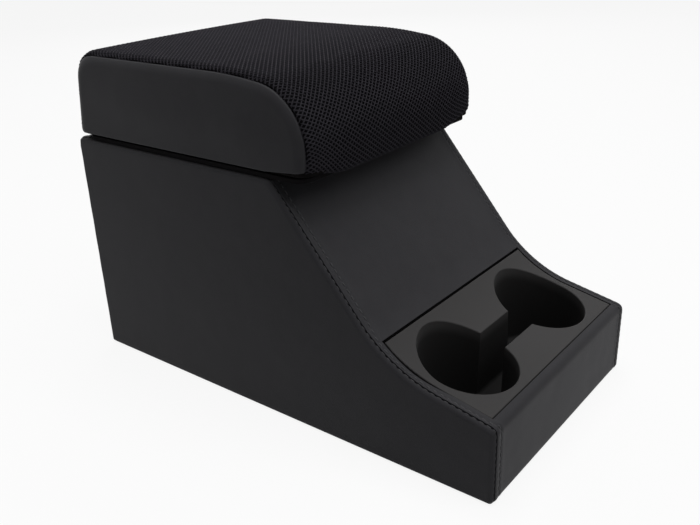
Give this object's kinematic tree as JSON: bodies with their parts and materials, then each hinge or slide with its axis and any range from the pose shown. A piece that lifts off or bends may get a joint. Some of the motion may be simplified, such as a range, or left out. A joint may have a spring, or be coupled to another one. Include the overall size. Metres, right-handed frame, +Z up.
{
  "type": "car centre armrest",
  "caption": "Trimmed car console box with a padded hinged armrest lid over a storage bin and a moulded cup holder in its low sloping front deck.",
  "frame": {"origin": "centre of the base, on the surface the box stands on", "axes": "+Z up, -Y towards the cup end, X across the box"},
  "size_m": [0.25, 0.458, 0.3062],
  "materials": {
    "vinyl": "satin grained vinyl",
    "mesh": "open spacer mesh",
    "cup_plastic": "fine satin moulding",
    "board": "black stained board",
    "felt": "needled felt",
    "foam": "plain foam",
    "steel": "dark plated"
  },
  "bodies": {
    "box": {"left_side_trim": "vinyl", "right_side_trim": "vinyl", "centre_trim": "vinyl", "rear_trim": "vinyl", "cup_holder": "cup_plastic", "left_side_board": "board", "right_side_board": "board", "front_board": "board", "slope_board": "board", "floor_board": "board", "rear_board": "board", "left_lining": "felt", "right_lining": "felt", "rear_lining": "felt", "floor_carpet": "felt", "hinge_body_leaf": "steel", "hinge_pin": "steel", "hinge_body_screws": "steel"},
    "lid": {"lid_board": "board", "lid_foam": "foam", "lid_mesh": "mesh", "lid_left_trim": "vinyl", "lid_right_trim": "vinyl", "lid_under_panel": "felt", "hinge_lid_leaf": "steel", "hinge_lid_screws": "steel"}
  },
  "joints": [
    {"name": "lid_hinge", "type": "hinge", "parent": "box", "child": "lid", "pos_m": [0, 0.22715, 0.22585], "axis": [-1, 0, 0], "range_deg": [0, 100]}
  ]
}
